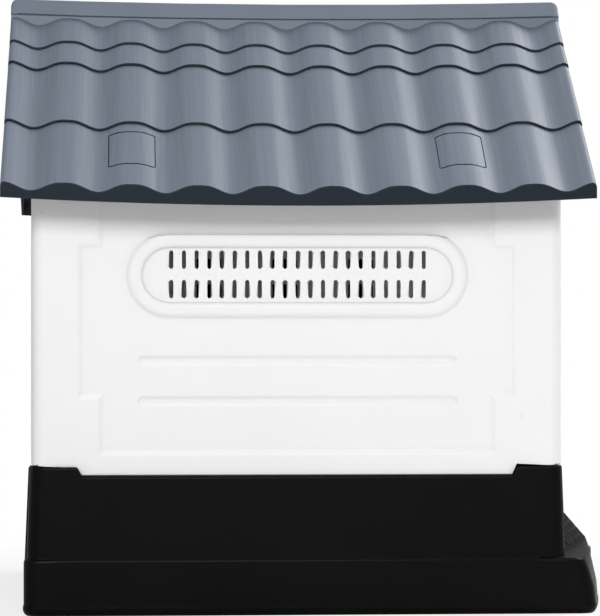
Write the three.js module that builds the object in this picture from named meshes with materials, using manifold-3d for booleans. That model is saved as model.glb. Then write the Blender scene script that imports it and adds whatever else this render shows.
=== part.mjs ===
// Plastic dog house: a black base tray with a front step, four white walls and a tiled
// pitched roof that lifts off after its four flap locks are opened.
// Millimetres. +Z up, the entrance faces -Y, left is -X (seen facing the entrance).
// The origin is on the floor under the centre of the whole footprint, step included.
// All pieces are drawn about the centre of the house body and shifted once at the end.
import * as THREE from "three";
import { mergeVertices } from "three/addons/utils/BufferGeometryUtils.js";
import Module from "manifold-3d";

const wasm = await Module();
wasm.setup();

// ---------------------------------------------------------------- driving dimensions

// Gaps
const FIT = 0.4; // running gap between neighbouring pieces
const OVERSHOOT = 20; // how far a cutting solid runs past what it cuts
const FAR = 400; // beyond the house on every side

// Roof
const ROOF_HALF_LENGTH = 336;
const ROOF_HALF_SPAN = 333;
const EAVE_Z = 491; // crest of the lowest tiles
const ROOF_SLOPE = 0.6977; // rise per millimetre towards the ridge, 34.9 degrees
const ROOF_SAG = 5; // the roof line dips this much half way along the house
const FASCIA_DROP = 18; // below the tile crests, at the roof's ends
const FASCIA_SAG = 9;
const UNDER_ROOF_Z = EAVE_Z - 60; // below everything that hangs from the roof
const TILE_PITCH = 75.5;
const TILE_DEPTH = 9.5; // valley below crest
const VALLEY_SHARPNESS = 1.5; // 1 is a plain cosine, more makes the valleys narrower
const STEPS_PER_TILE = 6;
const COURSE_EDGES = [0, 111, 220]; // lower edges of the tile courses, in from the eave
const COURSE_STEP = 3.8; // height of the lip at the edge of a course
const LIP_FACE = 1.7; // upright face of the lip, above its undercut
const UNDERCUT = 3; // how far the next course runs on under the lip
const SKIRT_EDGE = 261; // lower edge of the ridge cap, in from the eave
const SKIRT_LAP = 3.2; // the panels lie this far below the skirt's outer face
const SHEET = 3.6; // thickness of the roof sheet under its thinnest place, vertical
const VERGE_ROUND = 6; // turn-down radius at the gable ends
const BARGE_DROP = 24;
const BARGE_THICK = 3.2;
const BARGE_INSET = 12.5; // its top edge lies this far inside the turned-down verge
const RIDGE_FLANGE_DROP = 26;
const RIDGE_GAP = 0.4; // from the middle plane to the end of each panel
const RIDGE_FLAT_Z = 714; // the panels level off here, under the ridge cap
const SEAT_OUTER_X = 301; // ribs that rest on the side wall start here
const SEAT_RIB_HALF = 2;
const NIB_THICK = 3; // nibs inside the side wall
const NIB_DEPTH = 8;
const GABLE_RIB_FROM = 255; // ribs inside the gable walls, from the middle plane
const GABLE_RIB_TO = 60;
const GABLE_RIB_DROP = 34; // below the tile crests
const GABLE_RIB_THICK = 3;

// Ridge cap
const BEAM_NECK = 27; // half width under the beam's moulding
const BEAM_HALF = 30;
const BEAM_TOP_HALF = 17;
const BEAM_SHOULDER_Z = 708;
const RIDGE_Z = 727;
const BEAM_WALL = 3;
const SKIRT_THICK = 2.2;
const BEAM_END_ROUND = 8;
const BEAM_LIP = 1.5; // height of the step under the moulding
const BEAM_EDGE = 3; // width of the chamfer along the moulding's top
const BEAM_EDGE_DROP = 1.2;

// Roof locks
const LOCK_Y = 2.5 * TILE_PITCH; // both sides of the middle, on a tile crest
const LOCK_TOP = 95; // hinge line, in from the eave
const LOCK_LENGTH = 68; // along the slope
const LOCK_HALF_WIDTH = 26;
const LOCK_THICK = 3;
const LOCK_GAP = 0.9;
const LOCK_TOE_GAP = 1.8; // at the flap's lower edge
const LOCK_CORNER_R = 3;
const WINDOW_BELOW = 30; // the window's cut reaches this far below and above the tile
const WINDOW_ABOVE = 12;
const HINGE_DEPTH = 10; // hinge axis below the tile crest
const DRUM_GAP = 0.8; // round the hinge drum
const TRUNNION_R = 2.5;
const TRUNNION_LENGTH = 5;
const TRUNNION_CLEARANCE = 0.4;
const EAR_THICK = 7;
const EAR_HALF = 6; // along the slope
const EAR_BELOW = 5; // below the hinge axis
const HEEL_REACH = 7; // of the flap's drum, down the slope from the hinge line
const HEEL_WALL = 1.4; // under the trunnions
const TONGUE_X = 266; // inner face of the tongue, from the middle plane
const TONGUE_THICK = 3.5;
const TONGUE_HALF_WIDTH = 14;
const TONGUE_TIP_Z = 500;

// Walls
const WALL_HALF_LENGTH = 303;
const WALL_HALF_WIDTH = 288.5;
const SKIN = 4.4;
const WALL_TOP_Z = 495;
const WALL_CORNER_R = 14;
const WALL_RETURN = 26; // the side walls wrap this far round the corners
const LAP = 14; // the gable walls tuck this far behind the returns
const RECESS_DEPTH = 2.5;
const TONGUE_WALL = 3.4; // thickness of the strip that stands inside the base
const TONGUE_ROOT = 0.5; // how deep the strip sits in the wall's inner face
const STRIP_HALF_LENGTH = 285;
const LAP_THICK = 3;
const LAP_ROOT = 6; // width of the joint between a gable wall and its lap
const LAP_TOP_GAP = 10;
const RELIEF_BACK = 2.5; // a recess shows this much larger on the wall's inner face

// Side wall relief
const RECESS_NARROW = 226; // half length of the recessed field above and below
const RECESS_WIDE = 249; // half length at mid height
const RECESS_TOP_Z = WALL_TOP_Z + OVERSHOOT;
const RECESS_STEP_HIGH_Z = 418;
const RECESS_STEP_LOW_Z = 243;
const RECESS_BOTTOM_Z = 179;
const GROOVE_ZS = [286, 240];
const GROOVE_HALF_LENGTH = 182.5;
const GROOVE_HALF_HEIGHT = 5;
const GROOVE_DEPTH = 2;

// Side vents
const VENT_Z = 383;
const VENT_HALF_LENGTH = 193;
const VENT_HALF_HEIGHT = 47;
const VENT_BAND = 16;
const VENT_PROUD = 4; // above the recessed field
const SLOT_COLUMNS = 21;
const SLOT_PITCH = 14.4;
const SLOT_WIDTH = 4.7;
const SLOT_HEIGHT = 21.4;
const SLOT_ROW_ZS = [400.5, 367];

// Gable walls
const GABLE_CLEARANCE = 19.6; // top edge below the tile crests
const GABLE_APEX_Z = 689;
const DOOR_HALF_WIDTH = 150;
const DOOR_SPRING_Z = 300;
const DOOR_FRAME_WIDTH = 15;
const DOOR_FRAME_PROUD = 2.5;
const REAR_VENT_Z = 545;
const REAR_VENT_COLUMNS = 9;
const REAR_FIELD_HALF_WIDTH = 214;
const REAR_FIELD_TOP_Z = 455;
const REAR_BAR_HALF_LENGTH = 170;
const REAR_BAR_PROUD = 2;
const REAR_FIELD_R = 12;
const REAR_VENT_MARGIN = 4; // between the slots and the band round them

// Catch on the side walls for each lock
const CATCH_INNER = 262;
const CATCH_THICK = 3.4;
const CATCH_TOP_Z = 520;
const CATCH_HALF_WIDTH = 12;
const SHELF_HALF_WIDTH = 20;
const SHELF_THICK = 5;

// Base tray
const BASE_TOP_HALF_LENGTH = 304.5;
const BASE_TOP_HALF_WIDTH = 290;
const BASE_DRAFT = 3.5; // how far the corner posts lean out down to the ledge
const BASE_HALF_WIDTH = 297; // below the ledge
const BASE_REAR_Y = 311.5;
const BASE_CORNER_R = 16;
const RIM = 5;
const FLOOR_Z = 80;
const FLOOR_THICK = 4;
const LEDGE_Z = 64;
const POST_WIDTH = 28.5;
const SIDE_PANEL_TOP = 292; // half width of the panels between the posts at the rim
const RIM_Z = 158;
const POST_Z = 168.5;
const CORNER_Z = 171.5;
const RIM_RAMP = [245, 252]; // where the rim climbs to the posts, along the sides
const RIM_GAP = 0.7; // between the rim and the walls above it
const RIM_EASE = [1.6, 1.2]; // rounding at the foot and head of each ramp
const CORNER_RISE = [18, 6]; // the corner's last rise starts and steepens here, from the end
const INNER_CORNER_R = 9;
const PANEL_PROUD_GAP = 0.6; // the side panels stop this far inside the ledge's edge
const RIB_PITCH = 72;
const RIB_THICK = 2.4;
const RIBS_EACH_WAY = 4;

// Front step
const STEP_CORNER = 326.5; // front edge of the step's tread at the corners
const STEP_CENTRE = 364;
const STEP_FOOT_CORNER = 339.5;
const STEP_FOOT_CENTRE = 372;
const SILL_Z = 97;
const SILL_TOP_FRONT = 343.5; // the round landing in front of the door, from its top
const SILL_BREAK_Z = 66; // where its slope turns steep
const SILL_BREAK_FRONT = 370.5;
const SILL_FOOT_FRONT = 376.5;
const SILL_CENTRE_Y = -56;
const SILL_SEGMENTS = 56;
const FOOT_LIP = 0.8; // the rounded lip round the foot stands out this much

const FOOTPRINT_SHIFT_Y = (SILL_FOOT_FRONT + FOOT_LIP - ROOF_HALF_LENGTH) / 2;

// Colours
const ROOF_COLOUR = 0x6f7882;
const WALL_COLOUR = 0xf1f1ef;
const BASE_COLOUR = 0x17181a;

// ---------------------------------------------------------------- solids

// A closed geometry as a solid; a shell that came out inside out is turned round.
function solid(geometry) {
  const bare = geometry.clone();
  bare.deleteAttribute("normal");
  bare.deleteAttribute("uv");
  const merged = mergeVertices(bare, 1e-4);
  const triVerts = new Uint32Array(merged.index.array);
  const make = () => new wasm.Manifold(new wasm.Mesh({
    numProp: 3,
    vertProperties: merged.attributes.position.array,
    triVerts,
  }));
  const made = make();
  if (made.volume() > 0) return made;
  for (let i = 0; i < triVerts.length; i += 3) {
    [triVerts[i + 1], triVerts[i + 2]] = [triVerts[i + 2], triVerts[i + 1]];
  }
  return make();
}

// A solid back as a geometry, mirrored to the other side of the house if asked.
function geometryOf(body, mirrored = false) {
  const mesh = body.getMesh();
  const count = mesh.numVert;
  const positions = new Float32Array(count * 3);
  for (let i = 0; i < count; i++) {
    const from = i * mesh.numProp;
    positions[3 * i] = mesh.vertProperties[from] * (mirrored ? -1 : 1);
    positions[3 * i + 1] = mesh.vertProperties[from + 1];
    positions[3 * i + 2] = mesh.vertProperties[from + 2];
  }
  const index = Array.from(mesh.triVerts);
  if (mirrored) {
    for (let i = 0; i < index.length; i += 3) {
      [index[i + 1], index[i + 2]] = [index[i + 2], index[i + 1]];
    }
  }
  const geometry = new THREE.BufferGeometry();
  geometry.setAttribute("position", new THREE.BufferAttribute(positions, 3));
  geometry.setIndex(index);
  geometry.computeVertexNormals();
  return geometry;
}

const join = (...bodies) => bodies.reduce((all, body) => all.add(body));
const cut = (body, ...tools) => tools.reduce((left, tool) => left.subtract(tool), body);

function box(x0, x1, y0, y1, z0, z1) {
  const geometry = new THREE.BoxGeometry(Math.abs(x1 - x0), Math.abs(y1 - y0), z1 - z0);
  return solid(geometry.translate((x0 + x1) / 2, (y0 + y1) / 2, (z0 + z1) / 2));
}

// Extrusions of outlines drawn in (y, z), (x, z) and (x, y).
const SHAPE_TO_YZ = new THREE.Matrix4().makeBasis(
  new THREE.Vector3(0, 1, 0), new THREE.Vector3(0, 0, 1), new THREE.Vector3(1, 0, 0));
const SHAPE_TO_XZ = new THREE.Matrix4().makeBasis(
  new THREE.Vector3(1, 0, 0), new THREE.Vector3(0, 0, 1), new THREE.Vector3(0, -1, 0));

function extrusion(shapes, depth, options = {}) {
  return new THREE.ExtrudeGeometry(shapes, {
    depth, bevelEnabled: false, curveSegments: 3, ...options,
  });
}

function extrudeX(shapes, x0, x1, options) {
  const geometry = extrusion(shapes, x1 - x0, options);
  return solid(geometry.applyMatrix4(SHAPE_TO_YZ).translate(x0, 0, 0));
}

function extrudeY(shapes, y0, y1, options) {
  const geometry = extrusion(shapes, y1 - y0, options);
  return solid(geometry.applyMatrix4(SHAPE_TO_XZ).translate(0, y1, 0));
}

function extrudeZ(shapes, z0, z1, options) {
  return solid(extrusion(shapes, z1 - z0, options).translate(0, 0, z0));
}

function polygon(points) {
  return new THREE.Shape(points.map(([x, y]) => new THREE.Vector2(x, y)));
}

function roundedRectangle(x0, x1, y0, y1, r) {
  const shape = new THREE.Shape();
  shape.moveTo(x0 + r, y0);
  shape.absarc(x1 - r, y0 + r, r, -Math.PI / 2, 0);
  shape.absarc(x1 - r, y1 - r, r, 0, Math.PI / 2);
  shape.absarc(x0 + r, y1 - r, r, Math.PI / 2, Math.PI);
  shape.absarc(x0 + r, y0 + r, r, Math.PI, 1.5 * Math.PI);
  return shape;
}

// A bar with two round ends; the longer of its two half sizes sets its direction.
function stadium(cx, cy, halfLength, halfHeight, arcSteps) {
  const r = Math.min(halfLength, halfHeight);
  const points = [];
  for (const end of [1, -1]) {
    for (let i = 0; i <= arcSteps; i++) {
      const a = Math.PI * (i / arcSteps - 0.5);
      const along = end * (Math.max(halfLength, halfHeight) - r + r * Math.cos(a));
      const across = end * r * Math.sin(a);
      points.push(halfLength > halfHeight
        ? [cx + along, cy + across]
        : [cx - across, cy + along]);
    }
  }
  return polygon(points);
}

// A closed body through rings of equal count; flatten turns a ring's points into the
// outline of an end cap.
function loft(rings, flatten) {
  const count = rings[0].length;
  const positions = rings.flat().flatMap((p) => [p.x, p.y, p.z]);
  const index = [];
  for (let r = 0; r + 1 < rings.length; r++) {
    for (let i = 0; i < count; i++) {
      const a = r * count + i;
      const b = r * count + ((i + 1) % count);
      index.push(a, b, a + count, b, b + count, a + count);
    }
  }
  const capOf = (ring) => THREE.ShapeUtils.triangulateShape(ring.map(flatten), []);
  const turned = THREE.ShapeUtils.isClockWise(rings[0].map(flatten));
  const last = (rings.length - 1) * count;
  for (const [a, b, c] of capOf(rings[0])) {
    index.push(...(turned ? [a, b, c] : [a, c, b]));
  }
  for (const [a, b, c] of capOf(rings.at(-1))) {
    const cap = turned ? [a, c, b] : [a, b, c];
    index.push(...cap.map((i) => last + i));
  }
  const geometry = new THREE.BufferGeometry();
  geometry.setAttribute("position", new THREE.Float32BufferAttribute(positions, 3));
  geometry.setIndex(index);
  return solid(geometry);
}

const alongY = (p) => new THREE.Vector2(p.x, p.z);
const alongZ = (p) => new THREE.Vector2(p.x, p.y);

// ---------------------------------------------------------------- roof surface

// Height of the crests of the lowest edge of a course, d in from the eave.
const roofLine = (d) => EAVE_Z + ROOF_SLOPE * d;

const tileWave = (y) =>
  TILE_DEPTH * ((1 + Math.cos((2 * Math.PI * y) / TILE_PITCH)) / 2) ** VALLEY_SHARPNESS;
const endRise = (y) => 1 - (y / ROOF_HALF_LENGTH) ** 2;
const roofSag = (y) => ROOF_SAG * endRise(y);

function turnDown(y, radius) {
  const over = Math.max(0, Math.abs(y) - (ROOF_HALF_LENGTH - radius));
  return radius - Math.sqrt(radius ** 2 - over ** 2);
}

const tileDrop = (y) => tileWave(y) + roofSag(y) + turnDown(y, VERGE_ROUND);

// Stations along the roof: even steps through the tiles, closer ones round the verges.
function roofStations() {
  const step = TILE_PITCH / STEPS_PER_TILE;
  const inner = ROOF_HALF_LENGTH - VERGE_ROUND;
  const stations = [];
  const reach = Math.floor(inner / step);
  for (let i = -reach; i <= reach; i++) stations.push(i * step);
  for (const share of [0, 0.5, 0.85, 1]) {
    const y = inner + VERGE_ROUND * share;
    stations.push(y, -y);
  }
  return stations.sort((a, b) => a - b);
}

// The roof's cross-section points for the left side, in (distance in from the eave, z).
const ridgeEnd = ROOF_HALF_SPAN - RIDGE_GAP;
const innerDrop = COURSE_STEP + SHEET;
const ridgeFlat = (RIDGE_FLAT_Z + SKIRT_LAP - EAVE_Z) / ROOF_SLOPE;
const fasciaBottom = (y) => EAVE_Z - FASCIA_DROP - FASCIA_SAG * endRise(y);

function panelOuter(y, lift = 0) {
  const points = [];
  COURSE_EDGES.forEach((edge, i) => {
    const last = i === COURSE_EDGES.length - 1;
    const next = last ? SKIRT_EDGE : COURSE_EDGES[i + 1];
    points.push([edge, roofLine(edge)]);
    points.push([next, roofLine(next) - (last ? SKIRT_LAP : COURSE_STEP)]);
    if (last) return;
    const under = next + UNDERCUT;
    points.push([under, roofLine(under) - COURSE_STEP], [under, roofLine(under) - LIP_FACE]);
    points.push([next, roofLine(next) - LIP_FACE]);
  });
  points.push([ridgeFlat, RIDGE_FLAT_Z], [ridgeEnd, RIDGE_FLAT_Z]);
  return points.map(([d, z]) => [d, z - tileDrop(y) + lift]);
}

function panelRing(y) {
  const flange = roofLine(ridgeEnd) - RIDGE_FLANGE_DROP - roofSag(y);
  const inner = (d) => [d, roofLine(d) - innerDrop - tileDrop(y)];
  const points = [
    [0, fasciaBottom(y)],
    ...panelOuter(y),
    [ridgeEnd, flange],
    [ridgeEnd - SHEET, flange],
    inner(ridgeEnd - SHEET),
    inner(SHEET),
    [SHEET, fasciaBottom(y)],
  ];
  return points.map(([d, z]) => new THREE.Vector3(d - ROOF_HALF_SPAN, y, z));
}

// Everything below the middle of the sheet, for ribs that end in it.
function underRoof() {
  const middle = innerDrop - SHEET / 2;
  const ring = (y) => [
    [SHEET / 2, UNDER_ROOF_Z],
    [SHEET / 2, roofLine(SHEET / 2) - middle - tileDrop(y)],
    [ridgeEnd - SHEET / 2, roofLine(ridgeEnd - SHEET / 2) - middle - tileDrop(y)],
    [ridgeEnd - SHEET / 2, UNDER_ROOF_Z],
  ].map(([d, z]) => new THREE.Vector3(d - ROOF_HALF_SPAN, y, z));
  return loft(roofStations().map(ring), alongY);
}

// ---------------------------------------------------------------- roof locks

const courseSlope = ROOF_SLOPE - COURSE_STEP / (COURSE_EDGES[1] - COURSE_EDGES[0]);
const slopeAngle = Math.atan(courseSlope);

// Frame of a lock on the left slope: x runs uphill, y along the house, z out of the roof,
// from the crest of the tile at the hinge line.
function lockFrame(lockY) {
  const z = EAVE_Z + courseSlope * LOCK_TOP - roofSag(lockY);
  return new THREE.Matrix4()
    .makeTranslation(LOCK_TOP - ROOF_HALF_SPAN, lockY, z)
    .multiply(new THREE.Matrix4().makeRotationY(-slopeAngle));
}

// Outline of the flap, or of its window when grown, drawn in the slope's plane.
function flapPrism(lockY, grow, toe) {
  const halfWidth = LOCK_HALF_WIDTH + grow;
  const outline = roundedRectangle(
    -LOCK_LENGTH - toe, 0, -halfWidth, halfWidth, LOCK_CORNER_R + grow);
  const geometry = extrusion(outline, WINDOW_BELOW + WINDOW_ABOVE, { curveSegments: 1 });
  return solid(geometry.translate(0, 0, -WINDOW_BELOW).applyMatrix4(lockFrame(lockY)));
}

// The hinge drum is turned about the hinge axis, and its radius follows the tile, so the
// drum's upper side carries on the tile's surface at every angle of the flap.
function hingeDrum(lockY, halfWidth, clearance) {
  const barrelSteps = 4;
  const aroundSteps = 14;
  const radius = (y) => HINGE_DEPTH + clearance - Math.cos(slopeAngle)
    * (tileWave(lockY + y) + roofSag(lockY + y) - roofSag(lockY));
  const profile = [new THREE.Vector2(0, -halfWidth)];
  for (let i = 0; i <= barrelSteps; i++) {
    const y = halfWidth * ((2 * i) / barrelSteps - 1);
    profile.push(new THREE.Vector2(radius(y), y));
  }
  profile.push(new THREE.Vector2(0, halfWidth));
  const geometry = new THREE.LatheGeometry(profile, aroundSteps);
  return solid(geometry.translate(0, 0, -HINGE_DEPTH).applyMatrix4(lockFrame(lockY)));
}

function hingePin(lockY, radius, halfLength) {
  const geometry = new THREE.CylinderGeometry(radius, radius, 2 * halfLength, 12);
  return solid(geometry.translate(0, 0, -HINGE_DEPTH).applyMatrix4(lockFrame(lockY)));
}

function slopeBox(lockY, x0, x1, y0, y1, z0, z1) {
  const geometry = new THREE.BoxGeometry(x1 - x0, y1 - y0, z1 - z0);
  geometry.translate((x0 + x1) / 2, (y0 + y1) / 2, (z0 + z1) / 2);
  return solid(geometry.applyMatrix4(lockFrame(lockY)));
}

// What lies between two depths under the lowest course's own surface.
function tileLayer(from, to) {
  const ring = (y) => {
    const surface = panelOuter(y).slice(0, 2);
    const outer = surface.map(([d, z]) => [d, z - from]);
    const inner = surface.map(([d, z]) => [d, z - to]).reverse();
    return [...outer, ...inner].map(([d, z]) => new THREE.Vector3(d - ROOF_HALF_SPAN, y, z));
  };
  return loft(roofStations().map(ring), alongY);
}

// The flap is a layer of the tile itself, so that it lies flush in its window. Its tongue
// ends in the middle of that layer.
function lockFlap(lockY) {
  const thick = LOCK_THICK / Math.cos(slopeAngle);
  const flap = tileLayer(0, thick).intersect(flapPrism(lockY, 0, 0));
  const heelBottom = -HINGE_DEPTH - TRUNNION_R - HEEL_WALL;
  const heelRoom = slopeBox(lockY, -HEEL_REACH, HINGE_DEPTH,
    -LOCK_HALF_WIDTH, LOCK_HALF_WIDTH, heelBottom, 0);
  const heel = hingeDrum(lockY, LOCK_HALF_WIDTH, 0).intersect(heelRoom);
  const pin = hingePin(lockY, TRUNNION_R, LOCK_HALF_WIDTH + LOCK_GAP + TRUNNION_LENGTH);
  const tongue = box(-TONGUE_X - TONGUE_THICK, -TONGUE_X,
    lockY - TONGUE_HALF_WIDTH, lockY + TONGUE_HALF_WIDTH, TONGUE_TIP_Z, EAVE_Z + LOCK_LENGTH);
  return join(flap, heel, pin, tongue.intersect(tileLayer(thick / 2, LOCK_LENGTH)));
}

// What the panel has at each lock: a window, room for the drum and two ears for the pins.
function addLockSeat(panel, sheetRoom, lockY) {
  const earInner = LOCK_HALF_WIDTH + LOCK_GAP;
  const ears = [-1, 1].map((end) => {
    const from = end > 0 ? earInner : -earInner - EAR_THICK;
    const ear = slopeBox(lockY, -EAR_HALF, EAR_HALF, from, from + EAR_THICK,
      -HINGE_DEPTH - EAR_BELOW, 0);
    return ear.intersect(sheetRoom);
  });
  return cut(
    join(panel, ...ears),
    flapPrism(lockY, LOCK_GAP, LOCK_TOE_GAP),
    hingeDrum(lockY, earInner, DRUM_GAP),
    hingePin(lockY, TRUNNION_R + TRUNNION_CLEARANCE, earInner + TRUNNION_LENGTH + FIT),
  );
}

// ---------------------------------------------------------------- roof panels

function bargeBoard(end) {
  const shape = polygon([
    [-ROOF_HALF_SPAN, EAVE_Z - FASCIA_DROP],
    [-ROOF_HALF_SPAN + (BARGE_DROP - FASCIA_DROP) / ROOF_SLOPE, EAVE_Z - FASCIA_DROP],
    [ridgeEnd - ROOF_HALF_SPAN, roofLine(ridgeEnd) - BARGE_DROP],
    [ridgeEnd - ROOF_HALF_SPAN, roofLine(ridgeEnd) - BARGE_INSET],
    [-ROOF_HALF_SPAN, EAVE_Z - BARGE_INSET],
  ]);
  const outer = ROOF_HALF_LENGTH;
  return end > 0
    ? extrudeY(shape, outer - BARGE_THICK, outer)
    : extrudeY(shape, -outer, -outer + BARGE_THICK);
}

const NIB_X = -WALL_HALF_WIDTH + SKIN + RECESS_DEPTH + FIT;

function roofPanel() {
  const room = underRoof();
  const ribs = [];
  // Seats over the side wall, one in each valley, with a nib inside the wall.
  const nibInner = NIB_X + NIB_THICK;
  const ribTop = EAVE_Z + WINDOW_BELOW;
  for (let k = -3; k <= 3; k++) {
    const y0 = k * TILE_PITCH - SEAT_RIB_HALF;
    const y1 = k * TILE_PITCH + SEAT_RIB_HALF;
    ribs.push(box(-SEAT_OUTER_X, nibInner, y0, y1, WALL_TOP_Z + FIT, ribTop));
    ribs.push(box(NIB_X, nibInner, y0, y1, WALL_TOP_Z - NIB_DEPTH, ribTop));
  }
  // Ribs inside the gable walls keep it from sliding along, and follow the slope.
  const gableInner = WALL_HALF_LENGTH - SKIN - FIT;
  const crest = (x) => roofLine(ROOF_HALF_SPAN - x);
  const slopeRib = polygon([
    [-GABLE_RIB_FROM, crest(GABLE_RIB_FROM) - GABLE_RIB_DROP],
    [-GABLE_RIB_TO, crest(GABLE_RIB_TO) - GABLE_RIB_DROP],
    [-GABLE_RIB_TO, crest(GABLE_RIB_TO)],
    [-GABLE_RIB_FROM, crest(GABLE_RIB_FROM)],
  ]);
  ribs.push(extrudeY(slopeRib, gableInner - GABLE_RIB_THICK, gableInner));
  ribs.push(extrudeY(slopeRib, -gableInner, -gableInner + GABLE_RIB_THICK));
  let panel = join(
    loft(roofStations().map(panelRing), alongY),
    bargeBoard(-1),
    bargeBoard(1),
    ...ribs.map((rib) => rib.intersect(room)),
  );
  for (const lockY of [-LOCK_Y, LOCK_Y]) panel = addLockSeat(panel, room, lockY);
  return panel;
}

// ---------------------------------------------------------------- ridge cap

// The tiled skirt on the left of the ridge beam.
function ridgeSkirt() {
  const top = -BEAM_NECK + BEAM_WALL / 2;
  const edge = SKIRT_EDGE - ROOF_HALF_SPAN;
  return loft(roofStations().map((y) => {
    const z = (x) => roofLine(ROOF_HALF_SPAN + x) - tileDrop(y);
    return [
      [edge, z(edge)], [top, z(top)], [top, z(top) - SKIRT_THICK], [edge, z(edge) - SKIRT_THICK],
    ].map(([x, height]) => new THREE.Vector3(x, y, height));
  }), alongY);
}

// Everything below the middle of the skirt, where the beam's side walls end.
function underSkirt() {
  const outer = -BEAM_NECK - 1;
  const inner = -BEAM_TOP_HALF + BEAM_WALL + 1;
  const bottom = RIDGE_Z - 3 * RIDGE_FLANGE_DROP;
  return loft(roofStations().map((y) => {
    const station = Math.abs(y) === ROOF_HALF_LENGTH ? y + Math.sign(y) : y;
    const z = (x) => roofLine(ROOF_HALF_SPAN + x) - tileDrop(y) - SKIRT_THICK / 2;
    return [[outer, bottom], [outer, z(outer)], [inner, z(inner)], [inner, bottom]]
      .map(([x, height]) => new THREE.Vector3(x, station, height));
  }), alongY);
}

// The hollow beam along the ridge, open below, with rounded ends.
function ridgeBeam() {
  const neckIn = BEAM_NECK - BEAM_WALL;
  const neckFoot = roofLine(ROOF_HALF_SPAN - BEAM_NECK) - TILE_DEPTH - SKIRT_THICK / 2;
  const inner = ROOF_HALF_LENGTH - BEAM_END_ROUND;
  const stations = [0, 0.4, 0.75].map((share) => inner * share);
  for (const share of [0, 0.5, 0.85, 1]) stations.push(inner + BEAM_END_ROUND * share);
  const all = [...stations.slice(1).map((y) => -y).reverse(), ...stations];
  return loft(all.map((y) => {
    const sag = roofSag(y);
    const ends = turnDown(y, BEAM_END_ROUND);
    const shoulder = BEAM_SHOULDER_Z - sag;
    const top = RIDGE_Z - sag - ends;
    const outer = [
      [-BEAM_NECK, neckFoot - sag],
      [-BEAM_NECK, shoulder - BEAM_LIP],
      [-BEAM_HALF, shoulder],
      [-BEAM_TOP_HALF - BEAM_EDGE, top - BEAM_EDGE_DROP],
      [-BEAM_TOP_HALF + BEAM_EDGE, top],
    ];
    const roof = RIDGE_Z - sag - BEAM_END_ROUND - BEAM_WALL;
    const hollow = [[-BEAM_TOP_HALF, roof], [-neckIn, neckFoot - sag]];
    const mirror = (points) => points.map(([x, z]) => [-x, z]).reverse();
    const points = [...outer, ...mirror(outer), ...mirror(hollow), ...hollow];
    return points.map(([x, z]) => new THREE.Vector3(x, y, z));
  }), alongY);
}

function ridgeCap() {
  // Nothing of the beam reaches below the middle of the skirts, and each end is closed
  // down to just above the panels.
  const skirt = ridgeSkirt();
  const otherSkirt = solid(geometryOf(skirt, true));
  const floor = (x) => roofLine(ROOF_HALF_SPAN - x) - SKIRT_LAP + FIT;
  const flatHalf = ROOF_HALF_SPAN - ridgeFlat;
  const endHalf = BEAM_NECK - 1;
  const top = RIDGE_Z - BEAM_END_ROUND - FIT;
  const endShape = polygon([
    [-endHalf, floor(endHalf)],
    [-flatHalf, floor(flatHalf)],
    [flatHalf, floor(flatHalf)],
    [endHalf, floor(endHalf)],
    [endHalf, BEAM_SHOULDER_Z],
    [BEAM_TOP_HALF, top],
    [-BEAM_TOP_HALF, top],
    [-endHalf, BEAM_SHOULDER_Z],
  ]);
  const outer = ROOF_HALF_LENGTH;
  return join(
    cut(ridgeBeam(), underSkirt(), solid(geometryOf(underSkirt(), true))),
    skirt,
    otherSkirt,
    extrudeY(endShape, outer - BARGE_THICK, outer),
    extrudeY(endShape, -outer, -outer + BARGE_THICK),
  );
}

// ---------------------------------------------------------------- base tray

// Outline of what lies between the rim line of one face and farZ: the rim is low in the
// middle and climbs to the corner posts. halfLength is half the face's length.
function rimShape(halfLength, lift, farZ) {
  const [foot, head] = RIM_RAMP.map((y) => y - BASE_TOP_HALF_LENGTH + halfLength);
  const [easeAlong, easeUp] = RIM_EASE;
  const half = [
    [foot, RIM_Z],
    [foot + easeAlong, RIM_Z + easeUp],
    [head - easeAlong, POST_Z - easeUp],
    [head, POST_Z],
    [halfLength - CORNER_RISE[0], POST_Z],
    [halfLength - CORNER_RISE[1], POST_Z + 1],
    [halfLength, CORNER_Z],
    [halfLength + OVERSHOOT, CORNER_Z],
  ].map(([u, z]) => [u, z + lift]);
  const mirror = half.map(([u, z]) => [-u, z]).reverse();
  const reach = halfLength + OVERSHOOT;
  return polygon([[-reach, farZ], ...mirror, ...half, [reach, farZ]]);
}

// Plan outline of the base below the ledge, with the bowed step in front.
function stepOutline(z, halfWidth, rearY, corner, centre, r) {
  const bow = centre - corner;
  const bowR = (halfWidth ** 2 + bow ** 2) / (2 * bow);
  const bowY = bowR - centre;
  const spread = Math.asin((halfWidth - r) / (bowR - r));
  const filletY = bowY - (bowR - r) * Math.cos(spread);
  const points = [];
  const arc = (cx, cy, radius, from, to, steps) => {
    for (let i = 0; i <= steps; i++) {
      const a = from + ((to - from) * i) / steps;
      points.push(new THREE.Vector3(cx + radius * Math.cos(a), cy + radius * Math.sin(a), z));
    }
  };
  const down = -Math.PI / 2;
  arc(0, bowY, bowR, down - spread * 0.98, down + spread * 0.98, 14);
  arc(halfWidth - r, filletY, r, down + spread, 0, 3);
  arc(halfWidth - r, rearY - r, r, 0, Math.PI / 2, 4);
  arc(-halfWidth + r, rearY - r, r, Math.PI / 2, Math.PI, 4);
  arc(-halfWidth + r, filletY, r, Math.PI, 1.5 * Math.PI - spread, 3);
  return points;
}

// Levels of the base below the ledge: height, outward growth, share of the step's slope.
const STEP_LEVELS = [
  [0, -3, 1], [2.5, -0.6, 1], [6, FOOT_LIP, 1], [10, FOOT_LIP, 1], [13, 0, 0.99],
  [30, 0, 0.86], [50, 0, 0.38], [LEDGE_Z - 3, 0, 0.06], [LEDGE_Z, -1.6, 0],
];
const STEP_HOLLOW_LEVELS = [[-1, 0, 0.98], [30, 0, 0.84], [LEDGE_Z - RIM, 0, 0.06]];

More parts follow.
